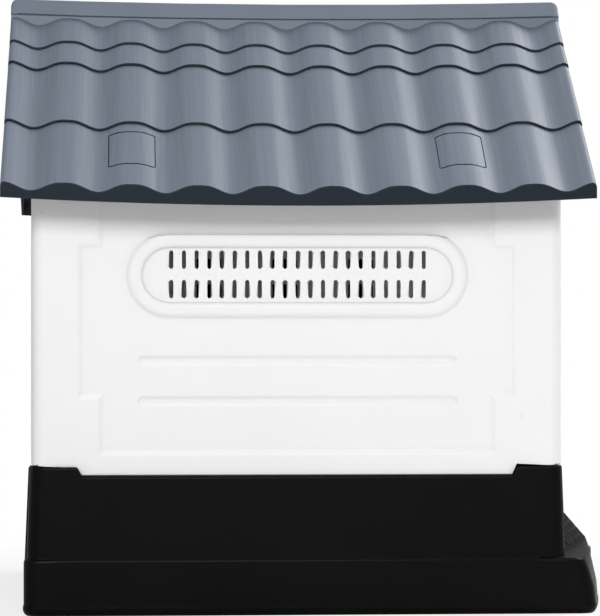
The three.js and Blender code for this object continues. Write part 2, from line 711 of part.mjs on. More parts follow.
function stepBlock(levels, inset) {
  return loft(levels.map(([z, grow, share]) => {
    const corner = STEP_CORNER + (STEP_FOOT_CORNER - STEP_CORNER) * share;
    const centre = STEP_CENTRE + (STEP_FOOT_CENTRE - STEP_CENTRE) * share;
    const out = grow - inset;
    return stepOutline(z, BASE_HALF_WIDTH + out, BASE_REAR_Y + out,
      corner + out, centre + out, BASE_CORNER_R);
  }), alongZ);
}

// Corner posts and rim: a rounded rectangle that leans out towards the ledge.
function postBlock() {
  const ring = (z, grow) => {
    const halfWidth = BASE_TOP_HALF_WIDTH + grow;
    const halfLength = BASE_TOP_HALF_LENGTH + grow;
    const shape = roundedRectangle(-halfWidth, halfWidth, -halfLength, halfLength, BASE_CORNER_R);
    const points = shape.getPoints(2).slice(0, -1);
    return points.map((p) => new THREE.Vector3(p.x, p.y, z));
  };
  return loft([
    ring(LEDGE_Z - 4, BASE_DRAFT),
    ring(LEDGE_Z + 10, BASE_DRAFT),
    ring(CORNER_Z + 2, 0),
  ], alongZ);
}

// The faces between the corner posts stand a little proud of them.
function facePanels() {
  const inner = BASE_TOP_HALF_WIDTH - RIM;
  const low = LEDGE_Z - RIM;
  const profile = (foot, top, innerFace) => polygon([
    [innerFace, low], [foot, low], [foot, LEDGE_Z], [top, POST_Z], [innerFace, POST_Z],
  ]);
  const sideHalf = BASE_TOP_HALF_LENGTH - POST_WIDTH;
  const rearHalf = BASE_TOP_HALF_WIDTH - POST_WIDTH;
  const sideFoot = BASE_HALF_WIDTH - PANEL_PROUD_GAP;
  const side = extrudeY(profile(sideFoot, SIDE_PANEL_TOP, inner), -sideHalf, sideHalf);
  const otherSide = solid(geometryOf(side, true));
  const rearTop = BASE_TOP_HALF_LENGTH + SIDE_PANEL_TOP - BASE_TOP_HALF_WIDTH;
  const rearProfile = profile(
    BASE_REAR_Y - PANEL_PROUD_GAP, rearTop, BASE_TOP_HALF_LENGTH - RIM);
  return [side, otherSide, extrudeX(rearProfile, -rearHalf, rearHalf)];
}

// Levels of the round landing in front of the door: height and front, from the foot to the
// steep part's head.
const SILL_FOOT = [[0, SILL_FOOT_FRONT - 3], [2.5, SILL_FOOT_FRONT - 0.6],
  [6, SILL_FOOT_FRONT + FOOT_LIP], [10, SILL_FOOT_FRONT + FOOT_LIP]];
const SILL_FACE = [[13, SILL_FOOT_FRONT], [30, SILL_FOOT_FRONT], [48, SILL_FOOT_FRONT - 0.9],
  [59, SILL_FOOT_FRONT - 3.5], [SILL_BREAK_Z, SILL_BREAK_FRONT]];
const SILL_LEAN = (SILL_BREAK_FRONT - SILL_TOP_FRONT) / (SILL_Z - SILL_BREAK_Z);

function sillBlock(levels, inset) {
  const ring = ([z, front]) => {
    const radius = front + SILL_CENTRE_Y - inset;
    return Array.from({ length: SILL_SEGMENTS }, (_, i) => {
      const a = (2 * Math.PI * i) / SILL_SEGMENTS;
      return new THREE.Vector3(radius * Math.sin(a), SILL_CENTRE_Y - radius * Math.cos(a), z);
    });
  };
  const front = -BASE_TOP_HALF_LENGTH + RIM;
  return loft(levels.map(ring), alongZ).intersect(box(-FAR, FAR, -FAR, front, -RIM, FAR));
}

function ribGrid() {
  const half = RIB_THICK / 2;
  const ribs = [];
  for (let k = -RIBS_EACH_WAY; k <= RIBS_EACH_WAY; k++) {
    const x = k * RIB_PITCH;
    const y = (k - 0.5) * RIB_PITCH;
    if (Math.abs(k) < RIBS_EACH_WAY) ribs.push(box(x - half, x + half, -FAR, FAR, -RIM, SILL_Z));
    ribs.push(box(-FAR, FAR, y - half, y + half, -RIM, SILL_Z));
  }
  return join(...ribs);
}

function baseTray() {
  const innerX = BASE_TOP_HALF_WIDTH - RIM;
  const innerY = BASE_TOP_HALF_LENGTH - RIM;
  const body = join(
    stepBlock(STEP_LEVELS, 0),
    postBlock(),
    ...facePanels(),
    sillBlock([...SILL_FOOT, ...SILL_FACE, [SILL_Z, SILL_TOP_FRONT]], 0),
  );
  const above = CORNER_Z + OVERSHOOT;
  const inside = extrudeZ(
    roundedRectangle(-innerX, innerX, -innerY, innerY, INNER_CORNER_R), FLOOR_Z, above);
  const doorway = box(
    -DOOR_HALF_WIDTH, DOOR_HALF_WIDTH, -FAR, -innerY + OVERSHOOT, SILL_Z, above);
  const sillHollowTop = [SILL_Z - RIM, SILL_TOP_FRONT + SILL_LEAN * RIM];
  const hollow = join(
    stepBlock(STEP_HOLLOW_LEVELS, RIM),
    box(-innerX, innerX, -innerY, innerY, LEDGE_Z - 2 * RIM, FLOOR_Z - FLOOR_THICK),
    sillBlock([[-1, SILL_FOOT_FRONT], ...SILL_FACE, sillHollowTop], RIM),
  ).subtract(ribGrid());
  return cut(
    body,
    extrudeX(rimShape(BASE_TOP_HALF_LENGTH, 0, above), -FAR, FAR),
    extrudeY(rimShape(BASE_TOP_HALF_WIDTH, 0, above), -FAR, FAR),
    inside,
    doorway,
    hollow,
  );
}

// ---------------------------------------------------------------- walls

// Everything below the rim, for the walls' lower edges.
function belowRim() {
  const innerX = BASE_TOP_HALF_WIDTH - 2 * RIM;
  const innerY = BASE_TOP_HALF_LENGTH - 2 * RIM;
  const sideShape = rimShape(BASE_TOP_HALF_LENGTH, RIM_GAP, 0);
  const endShape = rimShape(BASE_TOP_HALF_WIDTH, RIM_GAP, 0);
  return join(
    extrudeX(sideShape, -FAR, -innerX),
    extrudeX(sideShape, innerX, FAR),
    extrudeY(endShape, -FAR, -innerY),
    extrudeY(endShape, innerY, FAR),
  );
}

function recessShape(grow) {
  const top = RECESS_TOP_Z;
  const half = [
    [RECESS_NARROW + grow, RECESS_BOTTOM_Z - grow],
    [RECESS_NARROW + grow, RECESS_STEP_LOW_Z - grow],
    [RECESS_WIDE + grow, RECESS_STEP_LOW_Z - grow],
    [RECESS_WIDE + grow, RECESS_STEP_HIGH_Z + grow],
    [RECESS_NARROW + grow, RECESS_STEP_HIGH_Z + grow],
    [RECESS_NARROW + grow, top],
  ];
  return polygon([...half, ...half.map(([y, z]) => [-y, z]).reverse()]);
}

function slotShapes(columns, rowZs) {
  const endSteps = 3;
  const shapes = [];
  for (const z of rowZs) {
    for (let i = 0; i < columns; i++) {
      const u = (i - (columns - 1) / 2) * SLOT_PITCH;
      shapes.push(stadium(u, z, SLOT_WIDTH / 2, SLOT_HEIGHT / 2, endSteps));
    }
  }
  return shapes;
}

const BAND_BEVEL = { bevelEnabled: true, bevelSize: 4, bevelThickness: 3, bevelSegments: 2 };

// The raised band round a vent, drawn inside its bevels.
function ventBand(z, halfLength, halfHeight) {
  const steps = 12;
  const inset = BAND_BEVEL.bevelSize;
  const hole = VENT_BAND - inset;
  const ring = stadium(0, z, halfLength - inset, halfHeight - inset, steps);
  ring.holes.push(stadium(0, z, halfLength - hole, halfHeight - hole, steps));
  return ring;
}

// Round-bottomed groove from end to end along y.
function groove(faceX, z) {
  const r = (GROOVE_HALF_HEIGHT ** 2 + GROOVE_DEPTH ** 2) / (2 * GROOVE_DEPTH);
  const length = 2 * GROOVE_HALF_LENGTH - 2 * GROOVE_HALF_HEIGHT;
  const geometry = new THREE.CapsuleGeometry(r, length, 3, 16); // steps along and around
  return solid(geometry.translate(faceX - r + GROOVE_DEPTH, 0, z));
}

function sideWall() {
  const x = -WALL_HALF_WIDTH;
  const inX = x + SKIN;
  const fieldX = x + RECESS_DEPTH;
  const plan = roundedRectangle(x, -x, -WALL_HALF_LENGTH, WALL_HALF_LENGTH, WALL_CORNER_R);
  const innerPlan = roundedRectangle(
    inX, -inX, -WALL_HALF_LENGTH + SKIN, WALL_HALF_LENGTH - SKIN, WALL_CORNER_R - SKIN);
  const tube = cut(
    extrudeZ(plan, RIM_Z - OVERSHOOT, WALL_TOP_Z),
    extrudeZ(innerPlan, 0, WALL_TOP_Z + 1),
  );
  const part = tube.intersect(box(x - 1, x + WALL_RETURN, -FAR, FAR, 0, WALL_TOP_Z));
  const field = extrudeX(recessShape(0), x - 1, fieldX);
  const fieldBack = extrudeX(recessShape(RELIEF_BACK), inX - 1, inX + RECESS_DEPTH)
    .intersect(box(-FAR, 0, -FAR, FAR, 0, WALL_TOP_Z));
  const skin = cut(join(part, fieldBack), field, belowRim());
  const band = extrudeX(ventBand(VENT_Z, VENT_HALF_LENGTH, VENT_HALF_HEIGHT),
    fieldX - VENT_PROUD + BAND_BEVEL.bevelThickness, fieldX, BAND_BEVEL)
    .intersect(box(-FAR, fieldX + 1, -FAR, FAR, 0, WALL_TOP_Z));
  const strip = box(inX - TONGUE_ROOT, inX - TONGUE_ROOT + TONGUE_WALL,
    -STRIP_HALF_LENGTH, STRIP_HALF_LENGTH, FLOOR_Z + FIT, RIM_Z + OVERSHOOT);
  const catches = [-LOCK_Y, LOCK_Y].flatMap((y) => [
    box(inX - 1, -CATCH_INNER, y - SHELF_HALF_WIDTH, y + SHELF_HALF_WIDTH,
      WALL_TOP_Z - SHELF_THICK, WALL_TOP_Z),
    box(-CATCH_INNER - CATCH_THICK, -CATCH_INNER, y - CATCH_HALF_WIDTH, y + CATCH_HALF_WIDTH,
      WALL_TOP_Z - SHELF_THICK, CATCH_TOP_Z),
  ]);
  return cut(
    join(skin, band, strip, ...catches),
    extrudeX(slotShapes(SLOT_COLUMNS, SLOT_ROW_ZS), -FAR, 0),
    ...GROOVE_ZS.map((z) => groove(fieldX, z)),
  );
}

// Outline of a gable wall in (x, z), up to its sloping top edges.
function gableShape(halfWidth, bottomZ) {
  const edgeZ = (x) => roofLine(ROOF_HALF_SPAN - x) - GABLE_CLEARANCE;
  const apexHalf = ROOF_HALF_SPAN - (GABLE_APEX_Z + GABLE_CLEARANCE - EAVE_Z) / ROOF_SLOPE;
  const half = [
    [halfWidth, bottomZ],
    [halfWidth, edgeZ(halfWidth)],
    [apexHalf, GABLE_APEX_Z],
  ];
  return polygon([...half, ...half.map(([x, z]) => [-x, z]).reverse()]);
}

// Both gable walls lie between the side walls' returns and tuck behind them.
function gableWall() {
  const outerY = WALL_HALF_LENGTH;
  const innerY = outerY - SKIN;
  const faceHalf = WALL_HALF_WIDTH - WALL_RETURN - FIT;
  const skin = cut(extrudeY(gableShape(faceHalf, RIM_Z - OVERSHOOT), innerY, outerY), belowRim());
  const lapY = innerY - FIT;
  const lapLow = RIM_Z + OVERSHOOT;
  const lapHigh = WALL_TOP_Z - LAP_TOP_GAP;
  const laps = [-1, 1].flatMap((end) => {
    const outer = end * (faceHalf + LAP);
    const face = end * faceHalf;
    const root = end * (faceHalf - LAP_ROOT);
    const span = (a, b) => [Math.min(a, b), Math.max(a, b)];
    return [
      box(...span(root, outer), lapY - LAP_THICK, lapY, lapLow, lapHigh),
      box(...span(root, face), lapY - 1, innerY + 1, lapLow, lapHigh),
    ];
  });
  const strip = box(-faceHalf, faceHalf, innerY + TONGUE_ROOT - TONGUE_WALL,
    innerY + TONGUE_ROOT, FLOOR_Z + FIT, RIM_Z + OVERSHOOT);
  return join(skin, strip, ...laps);
}

function doorShape(grow) {
  const half = DOOR_HALF_WIDTH + grow;
  const shape = new THREE.Shape();
  shape.moveTo(-half, 0);
  shape.lineTo(half, 0);
  shape.lineTo(half, DOOR_SPRING_Z);
  shape.absarc(0, DOOR_SPRING_Z, half, 0, Math.PI);
  return shape;
}

function frontWall() {
  const y = -WALL_HALF_LENGTH;
  const blank = solid(geometryOf(gableWall()).rotateZ(Math.PI)); // half a turn, to the front
  const arch = { curveSegments: 10 };
  const frame = cut(
    extrudeY(doorShape(DOOR_FRAME_WIDTH), y - DOOR_FRAME_PROUD, y + 1, arch),
    belowRim(),
    box(-FAR, FAR, -FAR, 0, 0, POST_Z + FIT),
  );
  return cut(join(blank, frame), extrudeY(doorShape(0), -FAR, 0, arch));
}

function rearWall() {
  const y = WALL_HALF_LENGTH;
  const fieldY = y - RECESS_DEPTH;
  const fieldShape = (grow) => roundedRectangle(
    -REAR_FIELD_HALF_WIDTH - grow, REAR_FIELD_HALF_WIDTH + grow,
    RECESS_BOTTOM_Z - grow, REAR_FIELD_TOP_Z + grow, REAR_FIELD_R + grow);
  const field = extrudeY(fieldShape(0), fieldY, FAR);
  const back = extrudeY(fieldShape(RELIEF_BACK), y - SKIN - RECESS_DEPTH, y - SKIN + 1);
  const halfLength = (REAR_VENT_COLUMNS * SLOT_PITCH) / 2 + VENT_BAND + REAR_VENT_MARGIN;
  const halfHeight = SLOT_HEIGHT / 2 + VENT_BAND + REAR_VENT_MARGIN;
  const band = extrudeY(ventBand(REAR_VENT_Z, halfLength, halfHeight), y, y + 0.5, BAND_BEVEL)
    .intersect(box(-FAR, FAR, y - 1, FAR, 0, 2 * FAR));
  const slots = extrudeY(slotShapes(REAR_VENT_COLUMNS, [REAR_VENT_Z]), 0, FAR);
  const bars = GROOVE_ZS.map((z) => {
    const outline = stadium(0, z, REAR_BAR_HALF_LENGTH, GROOVE_HALF_HEIGHT, 4);
    return extrudeY(outline, fieldY - 1, fieldY + REAR_BAR_PROUD);
  });
  return cut(join(gableWall().add(back).subtract(field), band, ...bars), slots);
}

// ---------------------------------------------------------------- assembly

const roofMaterial = () => new THREE.MeshStandardMaterial({
  color: ROOF_COLOUR, roughness: 0.5, metalness: 0,
});
const wallMaterial = () => new THREE.MeshStandardMaterial({
  color: WALL_COLOUR, roughness: 0.4, metalness: 0,
});
const baseMaterial = () => new THREE.MeshStandardMaterial({
  color: BASE_COLOUR, roughness: 0.45, metalness: 0,
});

const house = new THREE.Group();

function place(name, body, material, mirrored = false) {
  const mesh = new THREE.Mesh(geometryOf(body, mirrored), material);
  mesh.name = name;
  house.add(mesh);
}

place("base_tray", baseTray(), baseMaterial());

const side = sideWall();
place("left_wall", side, wallMaterial());
place("right_wall", side, wallMaterial(), true);
place("front_wall", frontWall(), wallMaterial());
place("rear_wall", rearWall(), wallMaterial());

const panel = roofPanel();
place("left_roof_panel", panel, roofMaterial());
place("right_roof_panel", panel, roofMaterial(), true);
place("ridge_cap", ridgeCap(), roofMaterial());

for (const [end, lockY] of [["front", -LOCK_Y], ["rear", LOCK_Y]]) {
  const flap = lockFlap(lockY);
  place(`left_${end}_lock`, flap, roofMaterial());
  place(`right_${end}_lock`, flap, roofMaterial(), true);
}

house.position.y = FOOTPRINT_SHIFT_Y;

export default house;
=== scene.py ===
"""Looks for a plastic dog house: slate grey tiled roof, white walls and a black base tray.

Metres, +Z up, the entrance faces -Y and the left side, which the camera sees, is -X.
"""

import math

import bmesh
import bpy
from mathutils import Matrix, Vector


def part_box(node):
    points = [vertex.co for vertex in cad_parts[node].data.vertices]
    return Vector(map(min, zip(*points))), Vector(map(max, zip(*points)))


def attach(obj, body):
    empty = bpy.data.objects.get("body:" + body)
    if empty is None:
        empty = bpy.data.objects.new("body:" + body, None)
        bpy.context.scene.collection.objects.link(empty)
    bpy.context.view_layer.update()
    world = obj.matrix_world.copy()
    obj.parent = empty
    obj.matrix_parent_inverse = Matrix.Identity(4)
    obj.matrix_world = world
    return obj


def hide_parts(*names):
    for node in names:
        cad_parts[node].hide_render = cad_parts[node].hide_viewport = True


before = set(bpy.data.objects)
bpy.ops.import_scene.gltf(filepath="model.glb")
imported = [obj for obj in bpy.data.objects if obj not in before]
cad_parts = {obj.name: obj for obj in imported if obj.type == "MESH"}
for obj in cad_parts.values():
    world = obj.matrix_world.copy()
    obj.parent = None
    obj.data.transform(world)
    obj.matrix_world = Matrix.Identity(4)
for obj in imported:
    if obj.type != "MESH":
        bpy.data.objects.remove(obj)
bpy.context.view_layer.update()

# ------------------------------------------------------------------ driving dimensions

# The tiles, as they are moulded
TILE_PITCH = 0.0755
TILE_DEPTH = 0.0095
VALLEY_SHARPNESS = 1.5
STEPS_PER_TILE = 6  # flat strips per tile on the frame's own roof
FINER = 4  # each of them is cut into this many
ROOF_SAG = 0.005
VERGE_ROUND = 0.006
EAVE_Z = 0.491
ROOF_SLOPE = 0.6977
SURFACE_LAYER = 0.008  # what lies this close under the tiles follows their curve

roof_low, roof_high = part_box("left_roof_panel")
CENTRE_Y = (roof_low.y + roof_high.y) / 2
ROOF_HALF_LENGTH = (roof_high.y - roof_low.y) / 2
ROOF_HALF_SPAN = -roof_low.x
BEAM_HALF = 0.030  # of the ridge beam's width
BEAM_LOW_Z = 0.690
BEAM_LIP_Z = 0.706

# Angles and tolerances of the mesh work
FLAT_ANGLE = math.radians(0.2)  # faces that turn less than this are one face
ROUNDED_ANGLE = math.radians(28)  # edges sharper than this are rounded
SMOOTH_ANGLE = math.radians(42)  # edges softer than this are shaded smooth
DROP_ANGLE = math.radians(60)
MERGE_DISTANCE = 0.000002
CUT_DISTANCE = 0.000001
SNAP = 0.00005

# How far a face's normal leans: 1 is straight up, out or along the house
LEVEL = 0.5
UPRIGHT = 0.3
OUTWARD = 0.98
MARKED = 0.6

# Rounded edges
LIP_ROUND = 0.0014  # where a tile turns down to its end
PLATE_ROUND = 0.0004  # round the lock plates and their windows
BEAM_ROUND = 0.0008
GABLE_ROUND = 0.0005
RELIEF_ROUND = 0.002
BASE_ROUND = 0.0012
RIM_ROUND = 0.0028

# The side walls' recessed field, from the middle of the house
WALL_FACE_X = 0.2885
FIELD_X = 0.286
FIELD_DRAFT = 0.004
FIELD_NARROW = 0.226
FIELD_WIDE = 0.249
FIELD_LOW_Z = 0.179
FIELD_STEP_LOW_Z = 0.243
FIELD_STEP_HIGH_Z = 0.418
RELIEF_LOW_Z = 0.170  # between these heights the field, the vent and the grooves are
RELIEF_HIGH_Z = 0.430
RELIEF_HALF_LENGTH = 0.260
RELIEF_LIFT = 0.0035  # higher than in the frame
RELIEF_INNER_X = 0.2855
RELIEF_OUTER_X = 0.2886
RELIEF_SHORTEST = 0.003  # shorter edges stay sharp

# The band round the vent: its axis, and how far its rings move to make its sides softer,
# by their height above the field
BAND_Z = 0.383
BAND_HALF_LENGTH = 0.193
BAND_HALF_HEIGHT = 0.047
BAND_WIDTH = 0.016
BAND_OUTER_SHIFTS = ((0.0, 0.0025), (0.001, 0.0014), (0.0021, 0.0), (0.004, -0.001))
BAND_INNER_SHIFTS = ((0.0, -0.0006), (0.001, 0.0), (0.0021, 0.0012), (0.004, 0.0015))

# Round marks that the mould leaves on the side walls, from the middle of the house
GATE_MARKS = ((0.290, 0.4572), (-0.2558, 0.2254))
GATE_RADIUS = 0.0012
GATE_HEIGHT = 0.0006
GATE_SEGMENTS = 16

# The raised tread bars of the landing, which is round about a point behind the door
TREAD_CENTRE = Vector((0, CENTRE_Y - 0.056, 0))
TREAD_HALF_ANGLE = math.radians(29)
TREAD_PITCH = 0.012
TREAD_SLOPE_HEAD = (0.2875, 0.097)  # radius and height
TREAD_SLOPE_FOOT = (0.3145, 0.066)
TREAD_FACE_HEAD = (0.3197, 0.056)
TREAD_FACE_FOOT = (0.3205, 0.020)
TREAD_BAR = (0.0085, 0.0013, 0.0010)  # length, width and height
TREAD_TURN = math.radians(28)
TREAD_ROWS = 4  # on the slope and again on the face below it

# The base
RIM_BOTTOM_Z = 0.152
FOOT_HIGH_Z = 0.0135
LEDGE_LOW_Z = 0.0605
LEDGE_HIGH_Z = 0.0645
POST_INNER = 0.276

# The photograph's frame, in pixels, and the camera's place in front of the left side
PHOTO_WIDTH = 600
PHOTO_HEIGHT = 616
SQUARE_COLUMN = 132.9  # where the line of sight is square to the side
HORIZON_ROW = 307.1
SQUARE_FOCAL_PIXELS = 2980  # for a camera that looks along that line
FOCAL_PIXELS = 2987
CAMERA_TURN = math.atan((PHOTO_WIDTH / 2 - SQUARE_COLUMN) / SQUARE_FOCAL_PIXELS)
CAMERA_DIP = math.atan((PHOTO_HEIGHT / 2 - HORIZON_ROW) / SQUARE_FOCAL_PIXELS)
CAMERA_PLACE = (-3.683, CENTRE_Y + 0.188, 0.350)
SENSOR_MM = 36

# Floor, background and lamps
FLOOR_HALF_SIZE = 9
FLOOR_COLOUR = (0.82, 0.82, 0.82, 1)
FLOOR_FADE = (0.35, 0.95)  # distances over which the floor turns white
FLOOR_NEAR_WHITE = 0.74  # its share of white close to the house
WORLD_LEVEL = 0.345
# painted shade: the background is dark to the camera in these directions, standing in for the
# shade inside the house
DARK_CENTRE = (0, -0.0553, 0.0111)  # the directions in which the vents line up
DARK_REACH = (9, 0.050, 0.015)
DARK_SOFTNESS = (1.0, 1.2)
FRONT_LAMP = {"place": (-3.4, 0.35, 2.3), "target": (0, 0, 0.4), "size": 1.3, "watts": 80}
TOP_LAMP = {"place": (0.8, -2.0, 2.7), "target": (0, 0, 0.5), "size": 1.6, "watts": 76}

# ------------------------------------------------------------------ tile curve


def tile_wave(y):
    share = (1 + math.cos(2 * math.pi * y / TILE_PITCH)) / 2
    return TILE_DEPTH * share**VALLEY_SHARPNESS


def turn_down(y, radius):
    over = min(radius, max(0.0, abs(y) - (ROOF_HALF_LENGTH - radius)))
    return radius - math.sqrt(radius**2 - over**2)


def tile_drop(y):
    sag = ROOF_SAG * (1 - (y / ROOF_HALF_LENGTH) ** 2)
    return tile_wave(y) + sag + turn_down(y, VERGE_ROUND)


def coarse_stations():
    """Where the frame's own roof has its vertices along the house."""
    step = TILE_PITCH / STEPS_PER_TILE
    inner = ROOF_HALF_LENGTH - VERGE_ROUND
    reach = math.floor(inner / step)
    verges = [inner + VERGE_ROUND * share for share in (0, 0.5, 0.85, 1)]
    both = [i * step for i in range(-reach, reach + 1)] + verges + [-y for y in verges]
    return sorted(both)


def fine_stations(coarse):
    cuts = []
    for low, high in zip(coarse, coarse[1:]):
        cuts += [low + (high - low) * i / FINER for i in range(1, FINER)]
    return cuts


COARSE = coarse_stations()
FINE = fine_stations(COARSE)


def coarse_drop(y):
    """tile_drop as the frame's straight strips have it."""
    y = max(COARSE[0], min(COARSE[-1], y))
    for low, high in zip(COARSE, COARSE[1:]):
        if y <= high:
            share = (y - low) / (high - low)
            return tile_drop(low) * (1 - share) + tile_drop(high) * share
    return tile_drop(y)


# ------------------------------------------------------------------ mesh work


def merged_copy(node):
    """A bmesh of a CAD node, its loose triangles merged into one skin."""
    bm = bmesh.new()
    bm.from_mesh(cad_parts[node].data)
    bmesh.ops.remove_doubles(bm, verts=bm.verts, dist=MERGE_DISTANCE)
    return bm


def join_flats(bm):
    bmesh.ops.dissolve_limit(bm, angle_limit=FLAT_ANGLE, verts=bm.verts, edges=bm.edges)


def cut_across(bm, y):
    """Cuts faces and edges where they cross a plane across the house."""
    bmesh.ops.bisect_plane(
        bm,
        geom=bm.verts[:] + bm.edges[:] + bm.faces[:],
        dist=CUT_DISTANCE,
        plane_co=(0, y, 0),
        plane_no=(0, 1, 0),
    )


def curve_tiles(bm):
    """Cuts the strips of the tiles finer and moves them onto the true curve."""
    for y in FINE:
        cut_across(bm, CENTRE_Y + y)
    for vert in bm.verts:
        y = vert.co.y - CENTRE_Y
        surface = EAVE_Z + ROOF_SLOPE * (ROOF_HALF_SPAN - abs(vert.co.x)) - coarse_drop(y)
        depth = surface - vert.co.z
        if -2 * SNAP < depth < SURFACE_LAYER:
            vert.co.z += coarse_drop(y) - tile_drop(y)


def edge_angle(edge):
    return edge.calc_face_angle(0.0) if len(edge.link_faces) == 2 else 0.0


def round_edges(bm, chosen, radius, segments):
    edges = [edge for edge in bm.edges if edge_angle(edge) > ROUNDED_ANGLE and chosen(edge)]
    bmesh.ops.bevel(
        bm,
        geom=edges,
        offset=radius,
        segments=segments,
        profile=0.5,
        affect="EDGES",
        clamp_overlap=False,
        material=-1,
    )


def is_plate_edge(edge):
    """An edge of the roof's upper surface that drops straight down, such as a lock's."""
    tops = [face for face in edge.link_faces if face.normal.z > LEVEL]
    return len(tops) == 1 and edge.is_convex and edge_angle(edge) > DROP_ANGLE


def is_tile_end(edge):
    """The upper edge of a tile's end: a sloping face meets an upright one, outward."""
    first, second = edge.link_faces
    under_beam = min(abs(vert.co.x) for vert in edge.verts) < BEAM_HALF + SNAP
    if under_beam or not edge.is_convex:
        return False
    for top, end in ((first, second), (second, first)):
        outward = end.normal.x * (1 if end.calc_center_median().x > 0 else -1)
        if top.normal.z > LEVEL and outward > OUTWARD:
            return True
    return False


def finish_mesh(bm, name, body, node, materials, pick=None):
    """Makes the piece that stands for a CAD node; pick gives a face's material index."""
    bm.normal_update()
    for face in bm.faces:
        face.smooth = True
        face.material_index = pick(face) if pick else 0
    for edge in bm.edges:
        edge.smooth = edge_angle(edge) < SMOOTH_ANGLE
    mesh = bpy.data.meshes.new(name)
    bm.to_mesh(mesh)
    bm.free()
    for material in materials:
        mesh.materials.append(material)
    piece = bpy.data.objects.new(name, mesh)
    bpy.context.scene.collection.objects.link(piece)
    weighted = piece.modifiers.new("flat faces stay flat", "WEIGHTED_NORMAL")
    weighted.keep_sharp = True
    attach(piece, body)
    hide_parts(node)
    return piece


def plain_piece(bm, name, body, material):
    """Makes a piece that the frame doesn't have."""
    mesh = bpy.data.meshes.new(name)
    bm.to_mesh(mesh)
    bm.free()
    mesh.materials.append(material)
    piece = bpy.data.objects.new(name, mesh)
    bpy.context.scene.collection.objects.link(piece)
    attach(piece, body)
    return piece


# ------------------------------------------------------------------ shared effects


def effect_group(name, inputs, outputs):
    group = bpy.data.node_groups.new(name, "ShaderNodeTree")
    for label, default in inputs:
        socket = group.interface.new_socket(label, in_out="INPUT", socket_type="NodeSocketFloat")
        socket.default_value = default
    for label in outputs:
        group.interface.new_socket(label, in_out="OUTPUT", socket_type="NodeSocketFloat")
    start = group.nodes.new("NodeGroupInput")
    end = group.nodes.new("NodeGroupOutput")
    return group, start, end


def add_noise(group, detail, roughness):
    noise = group.nodes.new("ShaderNodeTexNoise")
    noise.inputs["Scale"].default_value = 1.0
    noise.inputs["Detail"].default_value = detail
    noise.inputs["Roughness"].default_value = roughness
    return noise


def scaled_coordinates(group, scale):
    coordinates = group.nodes.new("ShaderNodeTexCoord")
    mapping = group.nodes.new("ShaderNodeMapping")
    mapping.inputs["Scale"].default_value = scale
    group.links.new(coordinates.outputs["Object"], mapping.inputs["Vector"])
    return mapping.outputs["Vector"]


def math_node(group, operation, first, second):
    node = group.nodes.new("ShaderNodeMath")
    node.operation = operation
    for socket, value in zip(node.inputs, (first, second)):
        if isinstance(value, (int, float)):
            socket.default_value = value
        else:
            group.links.new(value, socket)
    return node.outputs["Value"]


def brushed_streaks():
    """Fine streaks that run down the slope of the roof, with broader bands among them."""
    group, start, end = effect_group(
        "brushed_streaks", [("Fine", 1.0), ("Broad", 0.5)], ["Streak"]
    )
    fine = add_noise(group, detail=3.0, roughness=0.6)
    group.links.new(scaled_coordinates(group, FINE_STREAKS), fine.inputs["Vector"])
    broad = add_noise(group, detail=2.0, roughness=0.5)
    group.links.new(scaled_coordinates(group, BROAD_STREAKS), broad.inputs["Vector"])
    fine_part = math_node(group, "SUBTRACT", fine.outputs["Fac"], 0.5)
    broad_part = math_node(group, "SUBTRACT", broad.outputs["Fac"], 0.5)
    scaled_fine = math_node(group, "MULTIPLY", fine_part, start.outputs["Fine"])
    scaled_broad = math_node(group, "MULTIPLY", broad_part, start.outputs["Broad"])
    total = math_node(group, "ADD", scaled_fine, scaled_broad)
    group.links.new(math_node(group, "ADD", total, 0.5), end.inputs["Streak"])
    return group


def moulded_grain():
    """The fine even grain of a moulding, and the cloudy shade of its plastic."""
    group, start, end = effect_group(
        "moulded_grain", [("Size", 900.0), ("Cloud size", 6.0)], ["Grain", "Cloud"]
    )
    coordinates = scaled_coordinates(group, (1, 1, 1))
    grain = add_noise(group, detail=2.0, roughness=0.5)
    cloud = add_noise(group, detail=3.0, roughness=0.55)
    for noise, size in ((grain, "Size"), (cloud, "Cloud size")):
        group.links.new(coordinates, noise.inputs["Vector"])
        group.links.new(start.outputs[size], noise.inputs["Scale"])
    group.links.new(grain.outputs["Fac"], end.inputs["Grain"])
    group.links.new(cloud.outputs["Fac"], end.inputs["Cloud"])
    return group


FINE_STREAKS = (7, 620, 7)  # marks per metre across, along and up the house
BROAD_STREAKS = (4, 130, 4)
STREAKS = brushed_streaks()
GRAIN = moulded_grain()

# ------------------------------------------------------------------ materials


PLASTIC_IOR = 1.5
NOISE_LOW = 0.3  # where most of a noise's values lie
NOISE_HIGH = 0.7
# rays of the ambient occlusion that paints shade into creases
PAINTED_SHADE_SAMPLES = 8


